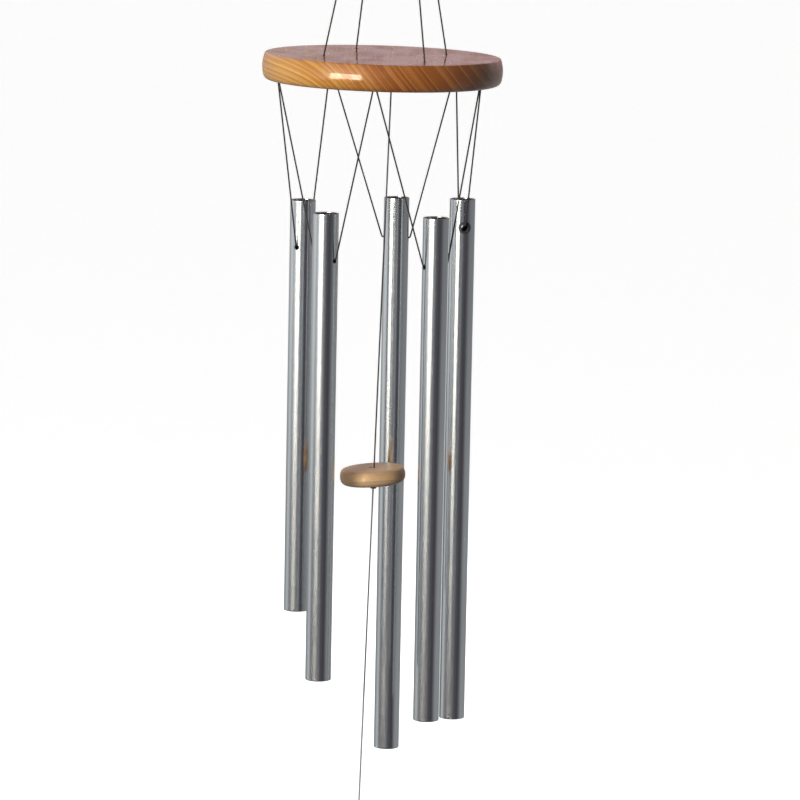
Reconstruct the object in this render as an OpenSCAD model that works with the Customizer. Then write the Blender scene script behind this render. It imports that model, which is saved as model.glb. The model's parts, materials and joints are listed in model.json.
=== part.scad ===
// Wind chime with a turned wooden platform, five tubes hung in cord Vs, a wooden striker and a sail.
// Origin: the inside top of the hanging ring, where it bears on its hook.
// +Z is up, +X is to the right and +Y is to the back as the chime is seen from the front.
// The five tubes are listed in this order: front left, front right, right, back, left.

/* [Platform] */
// Diameter of the round platform at its widest
platform_d = 152.4; // [148:0.1:160]
// Thickness of the platform
platform_t = 17; // [16:0.5:20]
// Radius of the rounding at the platform's lower rim
platform_low_round = 4; // [3:0.5:5]
// How far the right side of the platform hangs low, degrees
platform_lean = 0.75; // [0:0.05:1.5]

/* [Hanging ring and legs] */
// Inside diameter of the hanging ring
ring_bore = 19; // [16:1:30]
// Diameter of the ring's wire
ring_wire = 3; // [2.5:0.5:4]
// Height of the cord legs' meeting point above the platform's top face
leg_rise = 205; // [180:5:240]
// Sideways place of the legs' meeting point, to the right of the platform's middle
crown_x = 1.9; // [-5:0.1:5]
// Angle of each leg's hole, degrees from +X: right back, left back, left front, right front
leg_angle = [23.5, 112.4, 209, 299.4];
// Distance of each leg's hole from the platform's middle, each from 40 to 56
leg_radius = [43.8, 45.4, 42.3, 53.4];

/* [Cords] */
// Diameter of every cord
cord_d = 1.1; // [0.8:0.1:1.3]
// Radius of the circle of anchor holes for the tube cords
anchor_circle_r = 67.3; // [65:0.1:69]
// Angle of each anchor hole from +X, counted from the left, in degrees, each from 180 to 490
anchor_angle = [190.4, 266.4, 337.8, 405.7, 480];

/* [Tubes] */
// Outside diameter of every tube
tube_d = 16.4; // [15:0.1:17]
// Wall thickness of every tube
tube_wall = 1.2; // [1:0.1:1.5]
// Length of the longest tube, which hangs at the back
longest_tube = 363; // [340:1:380]
// Pitch of each tube above the longest one, in semitones, each from 0 to 11
tube_pitch = [6.8, 4.2, 2.4, 0, 10.6];
// Depth of each tube's top below the platform, each from 72 to 84
tube_top_depth = [79.4, 80.8, 75.7, 79.2, 78.7];
// Distance from each tube's top to its cross hole, each from 16 to 34
tube_hole_drop = [29.4, 30.9, 17.7, 27, 29.9];
// Slip of each tube along its V of cord, each from -10 to 10
tube_slip = [2.3, 7.7, 9.6, -3.9, -1.4];

/* [Cross holes] */
// Diameter of the plain cross holes, in every tube but the right one
plain_hole_d = 3.4; // [3:0.1:4]
// Bore of the two soft grommets in the right tube's cross hole
grommet_bore = 4.8; // [4.2:0.1:5]
// Diameter of the grommet's flange
grommet_flange_d = 8; // [7.6:0.1:8.4]

/* [Striker] */
// Diameter of the wooden striker
striker_d = 42; // [38:0.5:44]
// Thickness of the striker
striker_t = 10; // [9:0.5:11]
// How far the striker's right side hangs high, degrees
striker_tilt = 4.5; // [0:0.1:4.8]
// Depth of the striker's knot below the platform
striker_depth = 259; // [240:1:270]
// Sideways place of the centre cord's anchor
centre_anchor_x = 5.9; // [-8:0.1:8]
// Lean of the centre cord to the left, degrees
centre_lean = 1.5; // [0:0.1:2]

/* [Sail] */
// Length of cord between the striker's knot and the sail's cord loop
sail_cord_run = 236; // [220:1:300]
// Width of the sail at its round foot
sail_w = 54; // [44:1:64]
// Width of the sail at its round head
sail_head_w = 19; // [17:1:24]
// Distance from the centre of the sail's head to the centre of its foot
sail_drop = 54; // [45:1:65]
// Thickness of the sail
sail_t = 6; // [5:0.5:7]

/* [Hidden] */
$fn = 48;

// gap left between parts that move on each other
slack = 0.1;
// gap left between parts that bear on each other
bearing_gap = 0.02;
// cutting shapes run this far past the face they cut
cut = 1;
cord_r = cord_d / 2;
// straight cord pieces end this far inside the knot at a bend
bend_inset = 0.3;
// radius of a cord's plain bend
bend_r = 0.8;
tube_r = tube_d / 2;

// ring, loop and crown knot, from the top down
ring_r = (ring_bore + ring_wire) / 2;
wire_z = -ring_bore - ring_wire / 2;
crown_loop_r = ring_wire / 2 + slack + cord_r;
crown_loop_gap = 0.65;
crown_knot_r = 2.6;
crown_z = wire_z - crown_loop_r - cord_r - slack - crown_knot_r;

// the four legs gather side by side under the crown knot, and bend just above the platform
leg_gather_r = 1;
leg_bend_rise = 0.5;

// platform rim and holes
platform_bulge_r = 22;
platform_top_round = 1;
leg_hole_d = 2.4;
leg_knot_r = 1.9;
leg_knot_inset = 0.6;
leg_pocket_d = 5;
leg_pocket_depth = 5;
anchor_count = len(anchor_angle);
anchor_hole_d = 4.2;
anchor_hole_depth = 12;
peg_inset = 2.4;
pivot_inset = 0.8;
eye_r = 0.9;

// V ends stand side by side in one anchor hole
v_end_offset = 1.2;
// the tube whose cross hole has grommets
grommet_tube = 2;
flange_out = 0.9;
grommet_lip = 1.2;
grommet_hole_d = grommet_bore + 1.6;

// the striker sits on its knot: the knot's sphere bears on the edge of the striker's hole
striker_hole_d = 4.2;
striker_knot_r = 2.6;
striker_seat = sqrt(pow(striker_knot_r + bearing_gap, 2) - pow(striker_hole_d / 2, 2));
striker_bulge_r = 9;
striker_low_round = 3.6;
striker_top_round = 2.2;

sail_hole_d = 5;
// wood left between the sail's hole and its top edge
sail_hole_rim = 4;
sail_loop_r = 5;
sail_knot_r = 1.8;
// the sail's hole is centred this far below the bottom of the cord loop
sail_hole_sag = 0.7;
sail_hole_z = -sail_knot_r - 2 * sail_loop_r - sail_hole_sag;

wood = "burlywood";
metal = "silver";
cord_grey = "dimgray";

function unit(v) = v / norm(v);
function arc(c, r, from, to, steps = 7) =
    [for (i = [0:steps]) c + r * [cos(from + (to - from) * i / steps), sin(from + (to - from) * i / steps)]];

// a point of the platform's own frame (origin at its underside's centre) placed in the world,
// leaning about the crown knot
function platform_point(p) =
    let (side = p.x - crown_x)
    let (h = p.z - leg_rise - platform_t)
    let (x = side * cos(platform_lean) + h * sin(platform_lean))
    let (z = h * cos(platform_lean) - side * sin(platform_lean))
    [x, p.y, crown_z + z];
function anchor_spot(i) =
    let (a = anchor_angle[i % anchor_count])
    [anchor_circle_r * cos(a), anchor_circle_r * sin(a), 0];
function anchor(i) = platform_point(anchor_spot(i) + [0, 0, pivot_inset]);

// V number i runs from anchor i to anchor i + 1
function v_dir(i) = unit(anchor(i + 1) - anchor(i));
function v_end(i, side) = anchor(side < 0 ? i : i + 1) - side * v_end_offset * v_dir(i);
function level_dir(i) = unit([v_dir(i).x, v_dir(i).y, 0]);
underside_z = platform_point([0, 0, 0]).z;
function tube_hole(i) =
    let (middle = (anchor(i) + anchor(i + 1)) / 2)
    [middle.x, middle.y, underside_z - tube_top_depth[i] - tube_hole_drop[i]] + tube_slip[i] * level_dir(i);
function tube_length(i) = longest_tube * pow(2, -tube_pitch[i] / 24);

// the cord runs at the top of the cross hole and bends close to the tube on both sides
function free_bore(i) = i == grommet_tube ? grommet_bore : plain_hole_d;
function cord_line(i) = tube_hole(i) + [0, 0, (free_bore(i) - cord_d - slack) / 2];
function bend_x(i) = tube_r + (i == grommet_tube ? flange_out : 0) + slack + bend_r;
function cord_bend(i, side) = cord_line(i) + side * bend_x(i) * level_dir(i);

// the centre cord leans by centre_lean and the striker's knot is on it
centre_top = platform_point([centre_anchor_x, 0, pivot_inset]);
centre_run = (centre_top.z - underside_z + striker_depth) / cos(centre_lean);
centre_dir = [-sin(centre_lean), 0, -cos(centre_lean)];
striker_at = centre_top + centre_run * centre_dir;
sail_knot_at = striker_at + sail_cord_run * centre_dir;

module cord_piece(a, b) {
    v = b - a;
    translate(a)
        rotate([0, acos(v.z / norm(v)), atan2(v.y, v.x)])
            cylinder(d = cord_d, h = norm(v));
}

// a cord through a list of points, with a ball at each bend
module cord_through(points) {
    last = len(points) - 1;
    for (i = [0:last - 1]) {
        along = bend_inset * unit(points[i + 1] - points[i]);
        cord_piece(points[i] + (i > 0 ? 1 : 0) * along, points[i + 1] - (i + 1 < last ? 1 : 0) * along);
    }
    for (i = [1:1:last - 1]) translate(points[i]) sphere(r = bend_r);
}

module in_platform() {
    translate([0, 0, crown_z])
        rotate([0, platform_lean, 0])
            translate([-crown_x, 0, -leg_rise - platform_t])
                children();
}

function leg_spot(i) = [leg_radius[i] * cos(leg_angle[i]), leg_radius[i] * sin(leg_angle[i]), 0];

module at_legs() {
    for (i = [0:len(leg_angle) - 1])
        translate(leg_spot(i))
            children();
}

module at_anchors() {
    for (i = [0:anchor_count - 1])
        translate(anchor_spot(i))
            children();
}

// a turned wooden disc with a bulged rim and rounded edges, its underside at z = 0
module turned_disc(r, t, bulge_r, low_r, top_r) {
    bulge = [r - bulge_r, t / 2];
    low = [bulge.x + sqrt(pow(bulge_r - low_r, 2) - pow(t / 2 - low_r, 2)), low_r];
    top = [bulge.x + sqrt(pow(bulge_r - top_r, 2) - pow(t / 2 - top_r, 2)), t - top_r];
    low_a = -asin((t / 2 - low_r) / (bulge_r - low_r));
    top_a = asin((t / 2 - top_r) / (bulge_r - top_r));
    rotate_extrude()
        polygon(concat(
            [[0, 0]],
            arc(low, low_r, -90, low_a),
            arc(bulge, bulge_r, low_a, top_a),
            arc(top, top_r, top_a, 90),
            [[0, t]]));
}

module hanging_ring() {
    color(metal)
        translate([0, 0, -ring_bore / 2])
            rotate([90, 0, 0])
                rotate_extrude()
                    translate([ring_r, 0])
                        circle(d = ring_wire);
}

// two turns of cord around the bottom of the ring's wire
module crown_loop() {
    color(cord_grey)
        for (x = [-crown_loop_gap, crown_loop_gap])
            translate([x, 0, wire_z])
                rotate([0, 90, 0])
                    rotate_extrude()
                        translate([crown_loop_r, 0])
                            circle(d = cord_d);
}

module crown_knot() {
    color(cord_grey)
        translate([0, 0, crown_z])
            sphere(r = crown_knot_r);
}

// one leg, from its knot in the platform's underside up to the crown knot
module leg(i) {
    foot = leg_spot(i) + [0, 0, leg_pocket_depth / 2];
    mouth = leg_spot(i) + [0, 0, platform_t + leg_bend_rise];
    crown = [crown_x, 0, platform_t + leg_rise - crown_knot_r - slack];
    in_platform()
        cord_through([foot, mouth, crown + leg_gather_r * unit(leg_spot(i))]);
}

module leg_cord_left() {
    color(cord_grey)
        for (i = [1, 2]) leg(i);
}

module leg_cord_right() {
    color(cord_grey)
        for (i = [0, 3]) leg(i);
}

module leg_knots() {
    color(cord_grey)
        in_platform()
            at_legs()
                difference() {
                    translate([0, 0, leg_knot_r + leg_knot_inset])
                        sphere(r = leg_knot_r);
                    translate([0, 0, leg_pocket_depth / 2])
                        cylinder(d = cord_d + slack, h = leg_pocket_depth);
                }
}

module hole_from_below(d, depth) {
    translate([0, 0, -cut])
        cylinder(d = d, h = depth + cut);
}

module platform() {
    color(wood)
        in_platform()
            difference() {
                turned_disc(
                    platform_d / 2, platform_t, platform_bulge_r, platform_low_round, platform_top_round);
                at_legs() {
                    hole_from_below(leg_hole_d, platform_t + cut);
                    hole_from_below(leg_pocket_d, leg_pocket_depth);
                }
                at_anchors()
                    hole_from_below(anchor_hole_d, anchor_hole_depth);
                translate([centre_anchor_x, 0, 0])
                    hole_from_below(anchor_hole_d, anchor_hole_depth);
            }
}

module anchor_peg() {
    translate([0, 0, peg_inset])
        cylinder(d = anchor_hole_d, h = anchor_hole_depth - peg_inset);
}

module anchor_pegs() {
    color("peru")
        in_platform() {
            at_anchors() anchor_peg();
            translate([centre_anchor_x, 0, 0]) anchor_peg();
        }
}

module tube_cord(i) {
    color(cord_grey)
        cord_through([v_end(i, -1), cord_bend(i, -1), cord_bend(i, 1), v_end(i, 1)]);
}

// places children at tube i, its cross hole at the origin and along X
module at_tube(i) {
    translate(tube_hole(i))
        rotate(atan2(level_dir(i).y, level_dir(i).x))
            children();
}

module cross_bore(d) {
    rotate([0, 90, 0])
        cylinder(d = d, h = 2 * tube_d, center = true);
}

module tube(i) {
    below = tube_length(i) - tube_hole_drop[i];
    color(metal)
        at_tube(i)
            difference() {
                translate([0, 0, -below])
                    cylinder(r = tube_r, h = tube_length(i));
                translate([0, 0, -below - cut])
                    cylinder(r = tube_r - tube_wall, h = tube_length(i) + 2 * cut);
                cross_bore(i == grommet_tube ? grommet_hole_d : plain_hole_d);
            }
}

// a soft eyelet in each wall of the right tube: flange outside, neck in the hole, lip inside
module grommets() {
    neck_run = grommet_lip + tube_wall + flange_out / 2;
    color("dimgray")
        at_tube(grommet_tube)
            for (side = [0, 180])
                rotate(side)
                    difference() {
                        union() {
                            difference() {
                                translate([tube_r / 2, 0, 0])
                                    rotate([0, 90, 0])
                                        cylinder(d = grommet_flange_d, h = tube_r / 2 + flange_out);
                                cylinder(r = tube_r + bearing_gap, h = tube_d, center = true);
                            }
                            translate([tube_r - tube_wall - grommet_lip, 0, 0])
                                rotate([0, 90, 0])
                                    cylinder(d = grommet_hole_d - 2 * bearing_gap, h = neck_run);
                        }
                        cross_bore(grommet_bore);
                    }
}

// the small knot that carries the centre cord in its hole
module centre_eye() {
    color(cord_grey)
        translate(centre_top)
            sphere(r = eye_r);
}

module centre_cord() {
    color(cord_grey)
        cord_piece(
            centre_top + (eye_r + slack) * centre_dir,
            striker_at - (striker_knot_r + slack) * centre_dir);
}

module striker() {
    color(wood)
        translate(striker_at)
            rotate([0, -striker_tilt, 0])
                difference() {
                    translate([0, 0, striker_seat])
                        turned_disc(
                            striker_d / 2, striker_t, striker_bulge_r, striker_low_round, striker_top_round);
                    cylinder(d = striker_hole_d, h = 2 * striker_t);
                }
}

module striker_knot() {
    color(cord_grey)
        translate(striker_at)
            sphere(r = striker_knot_r);
}

module sail_cord() {
    color(cord_grey)
        cord_piece(
            striker_at + (striker_knot_r + slack) * centre_dir,
            sail_knot_at - (sail_knot_r + slack) * centre_dir);
}

// the sail's frame: the knot above the sail is at the origin and the cord comes in from above
module at_sail() {
    translate(sail_knot_at)
        rotate([0, centre_lean, 0])
            children();
}

module sail_loop() {
    color(cord_grey)
        at_sail() {
            sphere(r = sail_knot_r);
            translate([0, 0, -sail_knot_r - sail_loop_r])
                rotate([0, 90, 0])
                    rotate_extrude()
                        translate([sail_loop_r, 0])
                            circle(d = cord_d);
        }
}

// a flat wooden teardrop, its outline two circles and the lines that touch both
module sail() {
    head = [0, sail_hole_z - (sail_head_w - sail_hole_d) / 2 + sail_hole_rim];
    foot = head - [0, sail_drop];
    touch = asin((sail_w - sail_head_w) / 2 / sail_drop);
    head_side = [cos(touch), sin(touch)] * sail_head_w / 2;
    foot_side = [cos(touch), sin(touch)] * sail_w / 2;
    mirrored = [[-1, 0], [0, 1]];
    color(wood)
        at_sail()
            difference() {
                translate([0, sail_t / 2, 0])
                    rotate([90, 0, 0])
                        linear_extrude(sail_t) {
                            translate(head) circle(d = sail_head_w);
                            translate(foot) circle(d = sail_w);
                            polygon([
                                foot + foot_side,
                                head + head_side,
                                head + mirrored * head_side,
                                foot + mirrored * foot_side]);
                        }
                translate([0, 0, sail_hole_z])
                    rotate([90, 0, 0])
                        cylinder(d = sail_hole_d, h = 2 * sail_t, center = true);
            }
}

module tube_cord_front_left() { tube_cord(0); }
module tube_cord_front_right() { tube_cord(1); }
module tube_cord_right() { tube_cord(2); }
module tube_cord_back() { tube_cord(3); }
module tube_cord_left() { tube_cord(4); }
module tube_front_left() { tube(0); }
module tube_front_right() { tube(1); }
module tube_right() { tube(2); }
module tube_back() { tube(3); }
module tube_left() { tube(4); }

hanging_ring();
crown_loop();
crown_knot();
leg_cord_left();
leg_cord_right();
platform();
leg_knots();
anchor_pegs();
tube_cord_front_left();
tube_cord_front_right();
tube_cord_right();
tube_cord_back();
tube_cord_left();
tube_front_left();
tube_front_right();
tube_right();
tube_back();
tube_left();
grommets();
centre_eye();
centre_cord();
striker();
striker_knot();
sail_cord();
sail_loop();
sail();
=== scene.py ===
"""Looks of the wind chime: turned wood, tubes, cords and knots, studio light and camera.

Lengths are in metres, in the frame of the CAD part: the origin is the inside top of the hanging ring,
+Z is up, +X is to the right and +Y is to the back. Every place comes from the loaded frame.
"""
import json
import math

import bmesh
import bpy
from mathutils import Matrix, Vector


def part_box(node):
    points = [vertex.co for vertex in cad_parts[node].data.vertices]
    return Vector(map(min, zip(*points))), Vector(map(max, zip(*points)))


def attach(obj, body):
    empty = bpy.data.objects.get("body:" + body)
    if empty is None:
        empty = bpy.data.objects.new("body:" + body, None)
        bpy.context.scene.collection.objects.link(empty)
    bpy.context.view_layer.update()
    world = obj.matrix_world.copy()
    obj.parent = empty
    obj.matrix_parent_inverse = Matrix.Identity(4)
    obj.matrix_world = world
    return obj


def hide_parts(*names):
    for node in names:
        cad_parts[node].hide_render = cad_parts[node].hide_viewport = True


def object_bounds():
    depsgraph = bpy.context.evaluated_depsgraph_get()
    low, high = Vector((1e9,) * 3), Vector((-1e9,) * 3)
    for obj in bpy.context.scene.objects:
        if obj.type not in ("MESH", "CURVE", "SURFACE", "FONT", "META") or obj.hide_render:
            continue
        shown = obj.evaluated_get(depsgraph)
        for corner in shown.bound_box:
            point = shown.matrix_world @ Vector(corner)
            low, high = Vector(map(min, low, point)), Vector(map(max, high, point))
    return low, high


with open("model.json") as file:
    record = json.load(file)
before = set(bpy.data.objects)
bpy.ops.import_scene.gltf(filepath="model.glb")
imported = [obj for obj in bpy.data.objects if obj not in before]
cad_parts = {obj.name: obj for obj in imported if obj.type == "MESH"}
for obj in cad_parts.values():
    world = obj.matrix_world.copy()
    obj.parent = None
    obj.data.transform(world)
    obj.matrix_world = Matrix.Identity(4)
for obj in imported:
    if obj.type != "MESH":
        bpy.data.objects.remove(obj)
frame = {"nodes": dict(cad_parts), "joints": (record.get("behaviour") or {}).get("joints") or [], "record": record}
cad_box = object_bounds()

MM = 0.001
TUBES = ("front_left", "front_right", "right", "back", "left")
JOINTS = {j["name"]: j for j in frame["joints"]}
CORD_R = 0.55 * MM
TUBE_WALL = 1.2 * MM
PLAIN_HOLE_R = 1.7 * MM
GROMMET_TUBE = "right"
GROMMET_HOLE_R = 3.2 * MM
GROMMET_BORE_R = 2.4 * MM
FLANGE_OUT = 0.9 * MM
FLANGE_R = 4.0 * MM
SLACK = 0.1 * MM
BEND_R = 0.8 * MM
LEG_GATHER_R = 1.0 * MM
SAIL_KNOT_R = 1.8 * MM
SAIL_HEAD_R = 9.5 * MM
SAIL_HOLE_R = 2.5 * MM
SAIL_EDGE_R = 1.6 * MM
# radii of a turned rim: its bulge, its lower edge and its upper edge
PLATFORM_RIM = (22 * MM, 4 * MM, 1 * MM)
STRIKER_RIM = (9 * MM, 3.6 * MM, 2.2 * MM)
# drilled holes with broken edges, as (radius, height) in millimetres above the underside
LEG_HOLE = (
    (0, -1), (2.9, -1), (2.9, 0), (2.5, 0.4), (2.5, 5), (1.2, 5.3), (1.2, 16.5), (1.75, 17.05),
    (1.75, 18), (0, 18))
ANCHOR_HOLE = ((0, -1), (2.4, -1), (2.4, 0), (2.1, 0.3), (2.1, 12.2), (0, 12.4))
STRIKER_HOLE = (
    (0, -1), (2.5, -1), (2.5, 0), (2.1, 0.4), (2.1, 9.7), (2.4, 10.02), (2.4, 11), (0, 11))
# ring lines, wood and deep tones at the narrow rings, then at the wide rings; HONEY's darker wide-ring tones are
# partly painted shade for the unlit right side of the platform's rim
HONEY = (
    (0.86, 0.47, 0.10), (0.53, 0.20, 0.027), (0.35, 0.11, 0.014),
    (0.68, 0.27, 0.068), (0.36, 0.092, 0.014), (0.22, 0.048, 0.008))
TAN = (
    (0.90, 0.62, 0.35), (0.80, 0.49, 0.23), (0.34, 0.19, 0.105),
    (0.90, 0.62, 0.35), (0.80, 0.49, 0.23), (0.34, 0.19, 0.105))
BOARD = dict(
    knee=-40 * MM, soft=25 * MM, slope=1.28, first=2.6 * MM,
    growth=23.0, wobble=2.4 * MM, turn=0.060, show=1.0)
PLAIN = dict(
    knee=-10 * MM, soft=12 * MM, slope=0.8, first=2.0 * MM,
    growth=4.0, wobble=1.6 * MM, turn=0.060, show=0.6)
SAWN = dict(
    knee=-8 * MM, soft=20 * MM, slope=1.0, first=2.2 * MM,
    growth=12.0, wobble=2.4 * MM, turn=0.050, show=0.9)
X, Y, Z = Vector((1, 0, 0)), Vector((0, 1, 0)), Vector((0, 0, 1))


# ---------------------------------------------------------------- places taken from the frame

def box_centre(node):
    low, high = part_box(node)
    return (low + high) / 2


def joint_place(name):
    """The joint's point and its unit axis at rest."""
    joint = JOINTS[name]
    return Vector(joint["pos_m"]), Vector(joint["axis"]).normalized()


def solids(node):
    """The vertices of each separate solid of a CAD node."""
    bm = bmesh.new()
    bm.from_mesh(frame["nodes"][node].data)
    bmesh.ops.remove_doubles(bm, verts=bm.verts, dist=0.005 * MM)
    left = set(bm.verts)
    groups = []
    while left:
        stack = [left.pop()]
        group = []
        while stack:
            vert = stack.pop()
            group.append(vert.co.copy())
            for edge in vert.link_edges:
                other = edge.other_vert(vert)
                if other in left:
                    left.remove(other)
                    stack.append(other)
        groups.append(group)
    bm.free()
    return groups


def middle(points):
    """The centre of the box around some points."""
    low = Vector([min(p[k] for p in points) for k in range(3)])
    high = Vector([max(p[k] for p in points) for k in range(3)])
    return (low + high) / 2


def disc_place(node):
    """A disc's own frame (origin at its underside's centre, Z its axis), its radius and thickness."""
    mesh = frame["nodes"][node].data
    up = max((p for p in mesh.polygons if p.normal.z > 0.9), key=lambda p: p.area).normal
    side = (X - up * up.x).normalized()
    turn = Matrix((side, up.cross(side), up))
    local = [turn @ v.co for v in mesh.vertices]
    low = Vector([min(p[k] for p in local) for k in range(3)])
    high = Vector([max(p[k] for p in local) for k in range(3)])
    centre = (low + high) / 2
    origin = turn.transposed() @ Vector((centre.x, centre.y, low.z))
    place = Matrix.Translation(origin) @ turn.transposed().to_4x4()
    return place, (high.x - low.x) / 2, high.z - low.z


def cross_hole(which):
    """The centre of a tube's cross hole, its direction, and the free bore the cord runs in."""
    low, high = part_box("tube_" + which)
    hang, across = joint_place("rock_" + which)
    free = GROMMET_BORE_R if which == GROMMET_TUBE else PLAIN_HOLE_R
    middle_z = hang.z - (free - CORD_R - SLACK / 2)
    return Vector(((low.x + high.x) / 2, (low.y + high.y) / 2, middle_z)), across, free


# ---------------------------------------------------------------- mesh helpers

def new_object(name, verts, faces):
    mesh = bpy.data.meshes.new(name)
    mesh.from_pydata([tuple(v) for v in verts], [], faces)
    mesh.update()
    piece = bpy.data.objects.new(name, mesh)
    bpy.context.scene.collection.objects.link(piece)
    return piece


def smooth(piece, angle=32):
    """Smooth shading that keeps edges sharper than the angle crisp."""
    bm = bmesh.new()
    bm.from_mesh(piece.data)
    bmesh.ops.recalc_face_normals(bm, faces=bm.faces)
    limit = math.radians(angle)
    for face in bm.faces:
        face.smooth = True
    for edge in bm.edges:
        edge.smooth = edge.is_manifold and edge.calc_face_angle(0) < limit
    bm.to_mesh(piece.data)
    bm.free()
    return piece


def lathe(name, profile, place, segments, ring=False):
    """A turned solid. The profile is (radius, height) points, or a closed ring of them."""
    verts, rows = [], []
    for radius, height in profile:
        if radius < 1e-7:
            rows.append([len(verts)] * segments)
            verts.append(place @ Vector((0, 0, height)))
            continue
        rows.append(list(range(len(verts), len(verts) + segments)))
        for k in range(segments):
            a = 2 * math.pi * k / segments
            verts.append(place @ Vector((radius * math.cos(a), radius * math.sin(a), height)))
    faces = []
    for i in range(len(rows) if ring else len(rows) - 1):
        low, high = rows[i], rows[(i + 1) % len(rows)]
        for k in range(segments):
            n = (k + 1) % segments
            corners = [low[k], low[n], high[n], high[k]]
            face = [c for j, c in enumerate(corners) if c != corners[j - 1]]
            if len(face) > 2:
                faces.append(face)
    return new_object(name, verts, faces)


def rounded(corners, radii, steps=5):
    """A closed outline with each corner rounded to its radius."""
    out = []
    count = len(corners)
    for i, radius in enumerate(radii):
        here = Vector(corners[i])
        before = Vector(corners[i - 1]) - here
        after = Vector(corners[(i + 1) % count]) - here
        if radius == 0:
            out.append(here)
            continue
        half = before.angle(after) / 2
        reach = radius / math.tan(half)
        start, end = here + before.normalized() * reach, here + after.normalized() * reach
        for k in range(steps + 1):
            t = k / steps
            out.append(start * (1 - t) ** 2 + here * 2 * t * (1 - t) + end * t * t)
    return [tuple(p) for p in out]


def arc(centre, radius, start, end, steps):
    angles = [start + (end - start) * k / steps for k in range(steps + 1)]
    return [(centre[0] + radius * math.cos(a), centre[1] + radius * math.sin(a)) for a in angles]


def turned_profile(r, t, bulge_r, low_r, top_r):
    """Half outline of a turned disc with a bulged rim, from its underside's centre to its top's."""
    bulge = (r - bulge_r, t / 2)
    low = (bulge[0] + math.sqrt((bulge_r - low_r) ** 2 - (t / 2 - low_r) ** 2), low_r)
    top = (bulge[0] + math.sqrt((bulge_r - top_r) ** 2 - (t / 2 - top_r) ** 2), t - top_r)
    low_a = -math.asin((t / 2 - low_r) / (bulge_r - low_r))
    top_a = math.asin((t / 2 - top_r) / (bulge_r - top_r))
    rim = arc(low, low_r, -math.pi / 2, low_a, 12)
    rim += arc(bulge, bulge_r, low_a, top_a, 16)[1:]
    rim += arc(top, top_r, top_a, math.pi / 2, 10)[1:]
    support = 0.4 * MM
    return [(0, 0), (low[0] - support, 0)] + rim + [(top[0] - support, t), (0, t)]


def cut(piece, cutters):
    """Cuts the cutters' shapes out of a piece and removes them."""
    for cutter in cutters:
        tool = piece.modifiers.new("cut", "BOOLEAN")
        tool.object = cutter
        tool.solver = "EXACT"
    graph = bpy.context.evaluated_depsgraph_get()
    mesh = bpy.data.meshes.new_from_object(piece.evaluated_get(graph))
    piece.modifiers.clear()
    piece.data = mesh
    mesh.name = piece.name
    for cutter in cutters:
        bpy.data.objects.remove(cutter)
    return piece


def along(point, direction):
    """A frame at a point with its Z along a direction."""
    return Matrix.Translation(point) @ direction.to_track_quat("Z", "X").to_matrix().to_4x4()


def join(name, pieces):
    """Several meshes joined as one piece."""
    bm = bmesh.new()
    for piece in pieces:
        bm.from_mesh(piece.data)
        bpy.data.objects.remove(piece)
    mesh = bpy.data.meshes.new(name)
    bm.to_mesh(mesh)
    bm.free()
    joined = bpy.data.objects.new(name, mesh)
    bpy.context.scene.collection.objects.link(joined)
    return joined


# ---------------------------------------------------------------- cord helpers

def bent(points, radius=1.6 * MM, steps=8):
    """A path of straight runs whose inner corners are rounded."""
    out = [points[0]]
    for before, here, after in zip(points, points[1:], points[2:]):
        back, on = before - here, after - here
        start = here + back.normalized() * min(radius, back.length * 0.45)
        end = here + on.normalized() * min(radius, on.length * 0.45)
        for k in range(steps + 1):
            t = k / steps
            out.append(start * (1 - t) ** 2 + here * 2 * t * (1 - t) + end * t * t)
    return out + [points[-1]]


def even(points, step, closed=False):
    """A path resampled to nearly equal steps."""
    chain = points + points[:1] if closed else points
    lengths = [0.0]
    for a, b in zip(chain, chain[1:]):
        lengths.append(lengths[-1] + (b - a).length)
    count = max(2, round(lengths[-1] / step))
    out, i = [], 0
    for k in range(count if closed else count + 1):
        s = lengths[-1] * k / count
        while i < len(chain) - 2 and lengths[i + 1] < s:
            i += 1
        span = max(lengths[i + 1] - lengths[i], 1e-9)
        out.append(chain[i].lerp(chain[i + 1], (s - lengths[i]) / span))
    return out, lengths[-1]


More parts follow.
